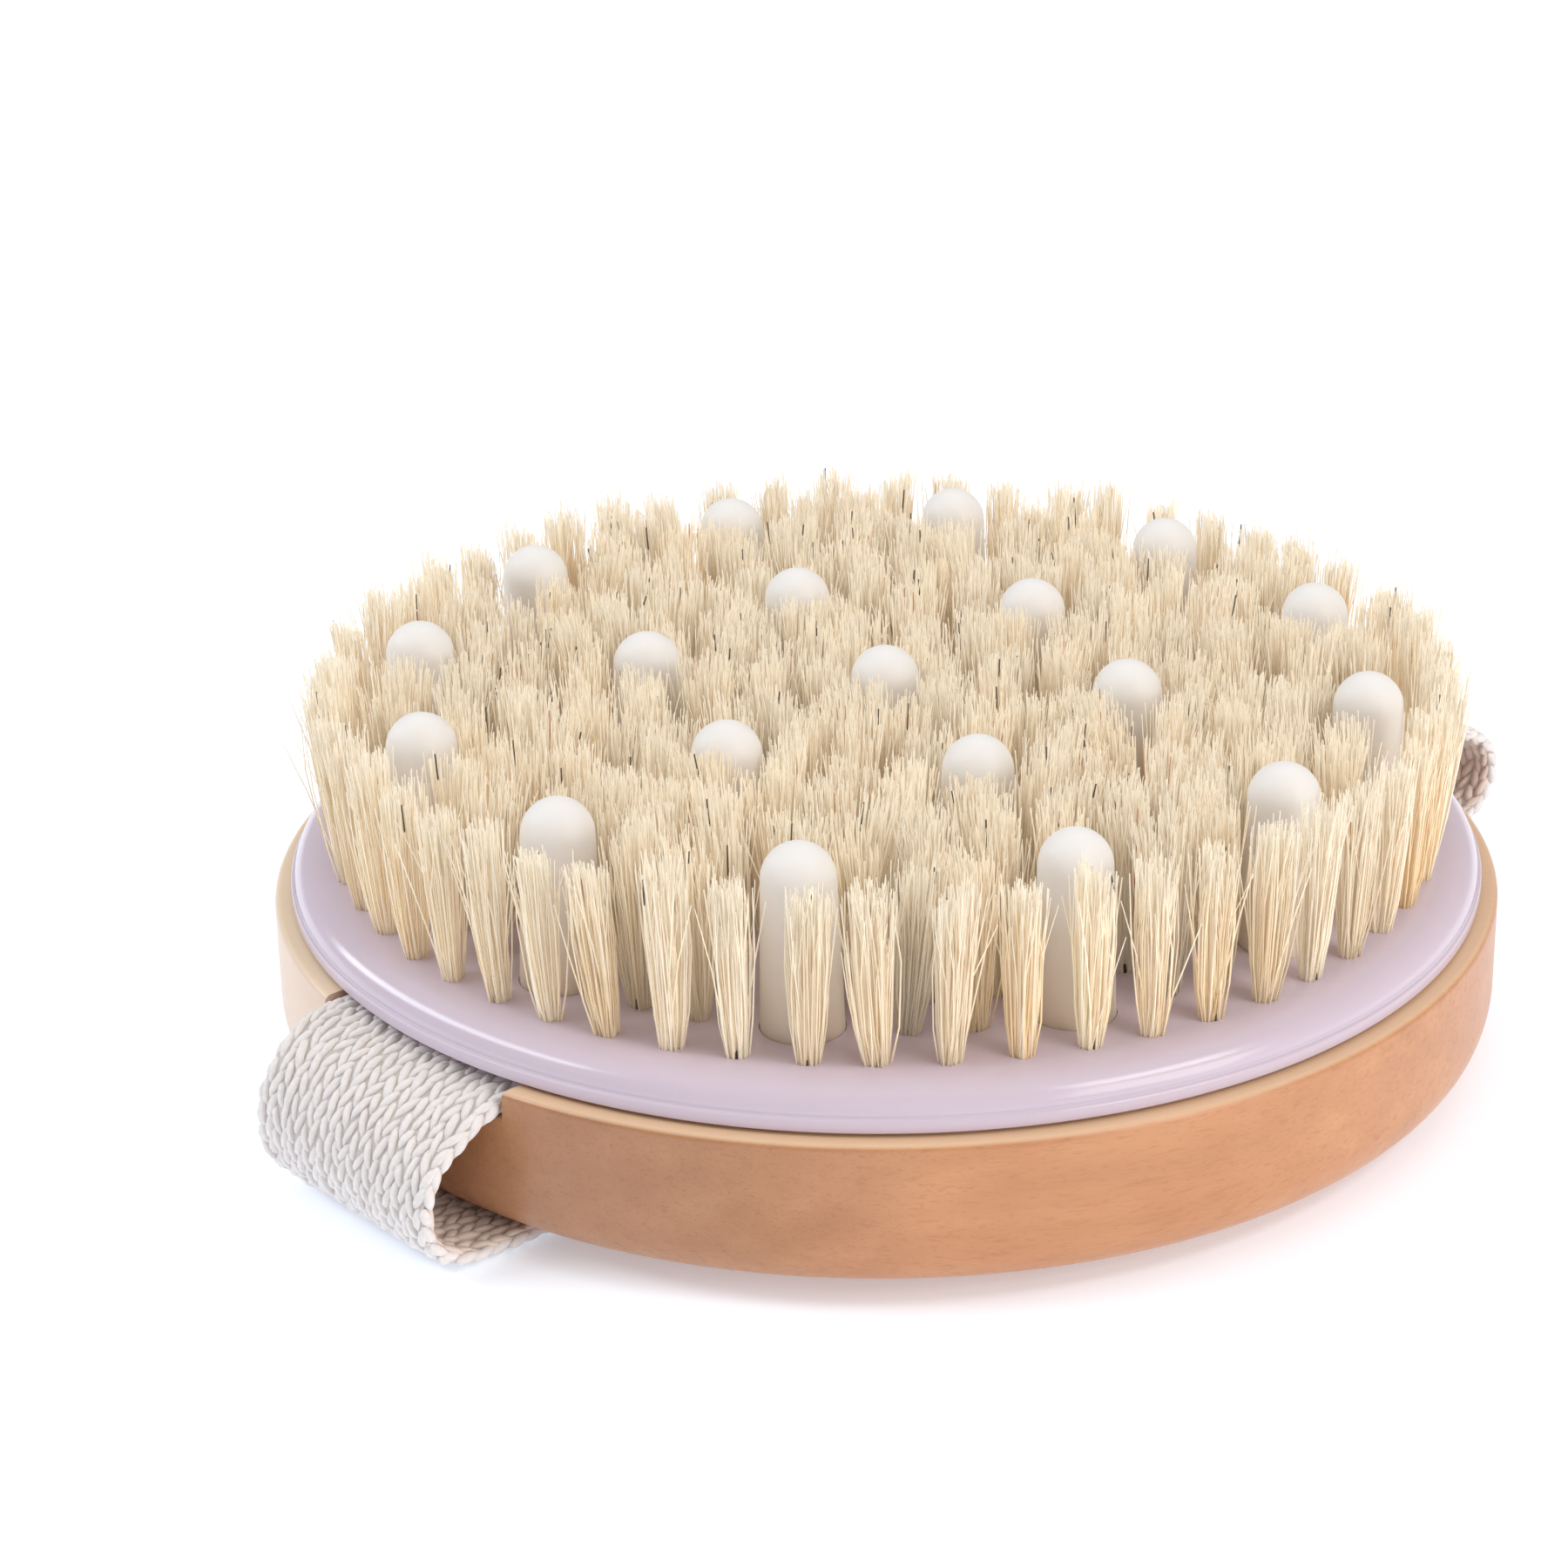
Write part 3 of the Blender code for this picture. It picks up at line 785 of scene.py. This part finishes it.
def bristle_mesh(name, lines, radii, colours):
    """Thin three-sided tapered tubes along the lines, with a colour at each point."""
    count, levels, _ = lines.shape
    sides = BRISTLE_SIDES
    turn = random.uniform(0, 2 * math.pi, count)
    angles = turn[:, None] + np.arange(sides)[None, :] * 2 * math.pi / sides
    ring = np.stack([np.cos(angles), np.sin(angles), np.zeros_like(angles)], -1)
    vertices = lines[:, :, None, :] + ring[:, None, :, :] * radii[:, :, None, None]
    template = []
    for level in range(levels - 1):
        for side in range(sides):
            a = level * sides + side
            b = level * sides + (side + 1) % sides
            template += [(a, b, b + sides), (a, b + sides, a + sides)]
    top = (levels - 1) * sides
    template += [(top, top + 1, top + 2), (2, 1, 0)]
    starts = np.arange(count) * levels * sides
    faces = (starts[:, None, None] + np.array(template)[None]).reshape(-1, 3)
    mesh = mesh_from_arrays(name, vertices.reshape(-1, 3), faces)
    mesh.shade_smooth()
    tint = mesh.color_attributes.new("tint", "FLOAT_COLOR", "POINT")
    shades = np.ones((count, levels, sides, 4), np.float32)
    shades[..., :3] = colours[:, :, None, :]
    tint.data.foreach_set("color", shades.ravel())
    return mesh


def make_bristles(material, rings, pins):
    """One object for each ring of tufts."""
    for ring, tufts in rings.items():
        kind = EDGE_TUFT if ring == EDGE_RING else INNER_TUFT
        made = [tuft_lines(tuft, kind) for tuft in tufts]
        lines, radii, colours = (np.concatenate([part[k] for part in made]) for k in range(3))
        keep_off_pins(lines, pins)
        trim_by_pins(lines, pins)
        mesh = bristle_mesh(f"tufts_{ring}", lines, radii, colours)
        obj = make_object(f"bristle_tufts_ring_{ring}", mesh, material)
        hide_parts(f"bristle_band_{BAND_OF_RING[ring]}")
        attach(obj, "root")


def make_anchors_and_gap_shade(material, rings):
    """The flat wire that each tuft is folded over, standing up into the slit at its foot. Its dark
    strip above the plate's face is painted shade between the tuft's two halves.
    """
    shape = bmesh.new()
    for tufts in rings.values():
        for x, y, angle in tufts:
            made = bmesh.ops.create_cube(shape, size=1.0)
            # Painted shade: each wire stands 0.2 to 0.9 mm above the face, a dark strip in the tuft's
            # slit
            top = random.uniform(0.2, 0.9) * MM
            size = (ANCHOR_WIDTH, ANCHOR_THICKNESS, top + ANCHOR_DEPTH)
            bmesh.ops.scale(shape, verts=made["verts"], vec=size)
            turn = Matrix.Rotation(angle, 3, "Z")
            bmesh.ops.rotate(shape, verts=made["verts"], cent=(0, 0, 0), matrix=turn)
            middle = PLATE_FACE + (top - ANCHOR_DEPTH) / 2
            bmesh.ops.translate(shape, verts=made["verts"], vec=(x, y, middle))
    mesh = bpy.data.meshes.new("anchors")
    shape.to_mesh(mesh)
    shape.free()
    anchors = make_object("tuft_wires_and_gap_shade", mesh, material)
    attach(anchors, "root")


# ------------------------------------------------------------------- the strap


class Route:
    """The strap's smooth line: its place and its loops' inner side at each distance along it."""

    def __init__(self, points, steps=12):
        """A Catmull-Rom curve through the points, with some steps from each to the next."""
        line = []
        before_first = 2 * np.array(points[0]) - points[1]
        after_last = 2 * np.array(points[-1]) - points[-2]
        padded = [before_first, *map(np.array, points), after_last]
        for i in range(1, len(padded) - 2):
            before, start, end, after = padded[i - 1 : i + 3]
            for step in range(steps):
                t = step / steps
                line.append(
                    0.5
                    * (
                        2 * start
                        + (end - before) * t
                        + (2 * before - 5 * start + 4 * end - after) * t * t
                        + (3 * start - before - 3 * end + after) * t**3
                    )
                )
        line.append(padded[-2])
        self.line = np.array(line)
        gaps = np.linalg.norm(np.diff(self.line, axis=0), axis=1)
        self.along = np.concatenate([[0.0], np.cumsum(gaps)])
        self.length = self.along[-1]
        slope = np.gradient(self.line, self.along, axis=0)
        slope /= np.linalg.norm(slope, axis=1)[:, None]
        self.normal = np.stack([-slope[:, 1], slope[:, 0]], 1)

    def points(self, along, across, inward):
        """World points: a distance along, a distance across (Y), and inward from the middle."""
        x = np.interp(along, self.along, self.line[:, 0])
        z = np.interp(along, self.along, self.line[:, 1])
        nx = np.interp(along, self.along, self.normal[:, 0])
        nz = np.interp(along, self.along, self.normal[:, 1])
        tilt = np.interp(along, *zip(*STRAP_TWIST)) / (STRAP_WIDTH / 2)
        return np.stack([x + nx * inward, across, z + nz * inward + tilt * across], -1)


def make_strap_core(material, route):
    """The dense middle of the webbing, which shows between the stitches. Its darker cotton is
    painted shade in the gaps between them.
    """
    steps = 260
    columns = 14
    along = np.linspace(0, route.length, steps)
    across = np.linspace(-CORE_WIDTH / 2, CORE_WIDTH / 2, columns)
    grid_along, grid_across = np.meshgrid(along, across, indexing="ij")
    sides = [
        route.points(grid_along, grid_across, np.full_like(grid_along, side * CORE_HALF_THICKNESS))
        for side in (INSIDE, OUTSIDE)
    ]
    vertices = np.concatenate([side.reshape(-1, 3) for side in sides])
    size = steps * columns
    faces = []
    for i in range(steps - 1):
        for j in range(columns - 1):
            a = i * columns + j
            b = a + columns
            faces.append((a, b, b + 1, a + 1))
            faces.append((size + a, size + a + 1, size + b + 1, size + b))
    border = list(range(columns))
    border += [i * columns + columns - 1 for i in range(1, steps)]
    border += [(steps - 1) * columns + j for j in range(columns - 2, -1, -1)]
    border += [i * columns for i in range(steps - 2, 0, -1)]
    for k, a in enumerate(border):
        b = border[(k + 1) % len(border)]
        faces.append((a, b, size + b, size + a))
    mesh = smooth(mesh_from_arrays("core", vertices, faces), 50)
    core = make_object("strap_webbing_core", mesh, material)
    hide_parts("hand_strap")
    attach(core, "root")
    return core


def yarn_template():
    """A short plump length of yarn along X, from -1 to 1, with its ends tucked in.

    Each point has a fourth value, from 1 at the middle down to -0.15 at the ends: how far a
    stitch rises there. The quads are the yarn's side, and the ends close it.
    """
    levels = 5
    sides = 5
    u = np.linspace(-1.0, 1.0, levels)
    girth = np.sqrt(np.clip(1 - (0.93 * u) ** 2, 0, 1))
    girth *= 1.0 - 0.12 * u
    angle = np.arange(sides) * 2 * math.pi / sides
    points = np.zeros((levels, sides, 4))
    points[..., 0] = u[:, None]
    points[..., 1] = girth[:, None] * np.cos(angle)[None]
    points[..., 2] = girth[:, None] * np.sin(angle)[None]
    points[..., 3] = (1.0 - 1.15 * u**2)[:, None]
    quads = []
    for i in range(levels - 1):
        for j in range(sides):
            a = i * sides + j
            b = i * sides + (j + 1) % sides
            quads.append((a, b, b + sides, a + sides))
    ends = [tuple(reversed(range(sides))), tuple(range((levels - 1) * sides, levels * sides))]
    return points.reshape(-1, 4), [*quads, *ends]


def yarn_rows(route, start):
    """The number of rows of yarn between both ends' starts, and their even pitch."""
    rows = int((route.length - 2 * start) / STITCH_PITCH)
    return rows, (route.length - 2 * start) / rows


def make_yarns(name, material, lengths, faces):
    """One object of many lengths of yarn. Each has the same faces, counted from its own start."""
    size = len(lengths[0])
    all_faces = [tuple(i * size + k for k in face) for i in range(len(lengths)) for face in faces]
    mesh = mesh_from_arrays(name, np.concatenate(lengths), all_faces)
    mesh.shade_smooth()
    obj = make_object(name, mesh, material)
    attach(obj, "root")
    return obj


def make_stitches(name, material, route, face):
    """The yarns that show on one face of the webbing, which is OUTSIDE or INSIDE."""
    template, faces = yarn_template()
    rows, pitch = yarn_rows(route, STITCH_START)
    column_width = (STRAP_WIDTH - 2 * STITCH_MARGIN) / STITCH_COLUMNS
    half_length, half_width, half_height = STITCH_YARN
    stitches = []
    for column in range(STITCH_COLUMNS):
        middle = (column - (STITCH_COLUMNS - 1) / 2) * column_width
        slant = math.radians(STITCH_SLANT) * (1 if column % 2 else -1) * face
        shift = 0.5 * pitch if column % 2 else 0.0
        for row in range(rows):
            tilt = slant + random.normal(0.0, math.radians(7))
            u = template[:, 0] * half_length * random.normal(1.0, 0.10)
            v = template[:, 1] * half_width * random.normal(1.0, 0.12)
            along = STITCH_START + (row + 0.5) * pitch + shift + random.normal(0.0, 0.12 * MM)
            along = along + u * math.cos(tilt) - v * math.sin(tilt)
            across = middle + u * math.sin(tilt) + v * math.cos(tilt)
            across = across + random.normal(0.0, 0.07 * MM)
            lift = STITCH_RISE * template[:, 3] + random.normal(0.24, 0.04) * MM
            depth = np.minimum(lift + template[:, 2] * half_height, STRAP_THICKNESS / 2)
            along = np.clip(along, 0, route.length)
            stitches.append(route.points(along, across, face * depth))
    if face == OUTSIDE:
        faces = [tuple(reversed(shape)) for shape in faces]
    return make_yarns(name, material, stitches, faces)


def make_selvages(material, route):
    """The plump yarns that turn round at both edges of the webbing."""
    template, faces = yarn_template()
    rows, pitch = yarn_rows(route, SELVAGE_START)
    half_length, half_width, half_height = SELVAGE_YARN
    turns = []
    for side in (-1, 1):
        for row in range(rows):
            u = template[:, 0] * half_length * random.normal(1.0, 0.09)
            along = SELVAGE_START + (row + 0.5) * pitch + u
            across = side * (STRAP_WIDTH / 2 - SELVAGE_INSET + 0.06 * MM * random.normal())
            across = across + template[:, 1] * half_width
            inward = template[:, 2] * half_height + SELVAGE_RISE * template[:, 0]
            inward = np.clip(inward, -STRAP_THICKNESS / 2, STRAP_THICKNESS / 2)
            turns.append(route.points(along, across, inward))
    return make_yarns("strap_selvages", material, turns, faces)


def make_strap():
    """The webbing strap in four pieces, which are one sheet."""
    # Painted shade: the core is darker than the yarns, for the shade between the stitches
    core_gap_shade_cotton = cotton_material("strap_core_gap_shade_cotton", (0.62, 0.56, 0.52), (0.52, 0.46, 0.42))
    yarn_cotton = cotton_material("strap_yarn_cotton", (0.88, 0.825, 0.805), (0.79, 0.74, 0.72))
    # Painted shade: the inside stitches are darker and warmer, for the shade and the wood's warm light
    # in the loops
    inside_warm_shade_cotton = cotton_material("strap_inside_warm_shade_cotton", (0.86, 0.72, 0.64), (0.74, 0.60, 0.52))
    route = Route(STRAP_ROUTE)
    core = make_strap_core(core_gap_shade_cotton, route)
    outside = make_stitches("strap_stitches_outside", yarn_cotton, route, OUTSIDE)
    inside = make_stitches("strap_stitches_inside", inside_warm_shade_cotton, route, INSIDE)
    selvages = make_selvages(yarn_cotton, route)


# -------------------------------------------------------------------- the stage


def make_stage():
    """A pale floor that glows more far away, and an even white world."""
    nodes = Nodes("pale_floor")
    grain = nodes.noise(nodes.place(), 8, 2)
    nodes.colour(nodes.mix(grain, (0.90, 0.93, 0.99), (0.92, 0.945, 1.0)))
    distance = nodes.add("ShaderNodeVectorMath", operation="LENGTH")
    nodes.link(nodes.place(), distance.inputs[0])
    glow = nodes.map_range(distance.outputs["Value"], 0.4, 1.4, 0.30, 0.90)
    nodes.link(glow, nodes.shader.inputs["Emission Strength"])
    nodes.set(Roughness=0.9)
    nodes.shader.inputs["Emission Color"].default_value = (0.82, 0.90, 1.0, 1.0)
    mesh = bpy.data.meshes.new("floor")
    shape = bmesh.new()
    bmesh.ops.create_grid(shape, x_segments=1, y_segments=1, size=FLOOR_HALF_SIZE)
    shape.to_mesh(mesh)
    shape.free()
    floor = make_object("floor", mesh, nodes.material)

    world = bpy.data.worlds.new("studio")
    bpy.context.scene.world = world
    world.use_nodes = True
    background = world.node_tree.nodes["Background"]
    background.inputs["Color"].default_value = (1.0, 1.0, 1.0, 1.0)
    background.inputs["Strength"].default_value = WORLD_LIGHT


def add_softbox(name, direction, distance, size, power, along, colour):
    """An area light that shines on the brush from a direction. Its width lies along another."""
    light = bpy.data.lights.new(name, "AREA")
    light.shape = "RECTANGLE"
    light.size, light.size_y = size
    light.energy = power
    light.color = colour
    obj = bpy.data.objects.new(name, light)
    obj.visible_camera = False
    bpy.context.scene.collection.objects.link(obj)
    turn = Matrix.Rotation(math.radians(CAMERA_AZIMUTH), 3, "Z")
    back = (turn @ Vector(direction)).normalized()
    side = turn @ Vector(along)
    side = (side - back * side.dot(back)).normalized()
    axes = Matrix((side, back.cross(side), back)).transposed()
    obj.matrix_world = Matrix.Translation(back * distance) @ axes.to_4x4()


def make_camera():
    """The camera, which looks at the middle of the plate's face and is rolled a little."""
    data = bpy.data.cameras.new("camera")
    data.sensor_width = 36.0
    data.lens = CAMERA_LENS
    data.shift_x, data.shift_y = CAMERA_SHIFT
    data.clip_start = 0.01
    data.clip_end = 20.0
    camera = bpy.data.objects.new("camera", data)
    bpy.context.scene.collection.objects.link(camera)
    azimuth = math.radians(CAMERA_AZIMUTH)
    elevation = math.radians(CAMERA_ELEVATION)
    back = Vector(
        (
            math.sin(azimuth) * math.cos(elevation),
            -math.cos(azimuth) * math.cos(elevation),
            math.sin(elevation),
        )
    )
    camera.location = Vector((0.0, 0.0, PLATE_FACE)) + back * CAMERA_DISTANCE
    roll = Quaternion((0.0, 0.0, 1.0), math.radians(CAMERA_ROLL))
    camera.rotation_mode = "QUATERNION"
    camera.rotation_quaternion = (-back).to_track_quat("-Z", "Y") @ roll
    bpy.context.scene.camera = camera


def main():
    bpy.context.scene.view_settings.view_transform = "Standard"
    make_camera()
    make_stage()
    for softbox in SOFTBOXES:
        add_softbox(*softbox)

    pins = pin_places()
    rings = {ring: ring_tufts(ring) for ring in range(1, EDGE_RING + 1)}
    holes = [tuft for tufts in rings.values() for tuft in tufts]
    make_base(wood_material())
    make_plate(plate_material(), pins, holes)
    make_pins(rubber_material(), pins)
    make_bristles(bristle_material(), rings, pins)
    # The dark wire above the plate's face is painted shade in the tufts' slits
    make_anchors_and_gap_shade(metal_material("anchor_wire", (0.17, 0.135, 0.11), (0.45, 0.6)), rings)
    make_strap()
    steel = metal_material("staple_steel", (0.62, 0.62, 0.63), (0.28, 0.42))
    # The staples are shown as the CAD made them
    for name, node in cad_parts.items():
        if name.startswith("strap_staple"):
            node.data.materials.clear()
            node.data.materials.append(steel)


main()
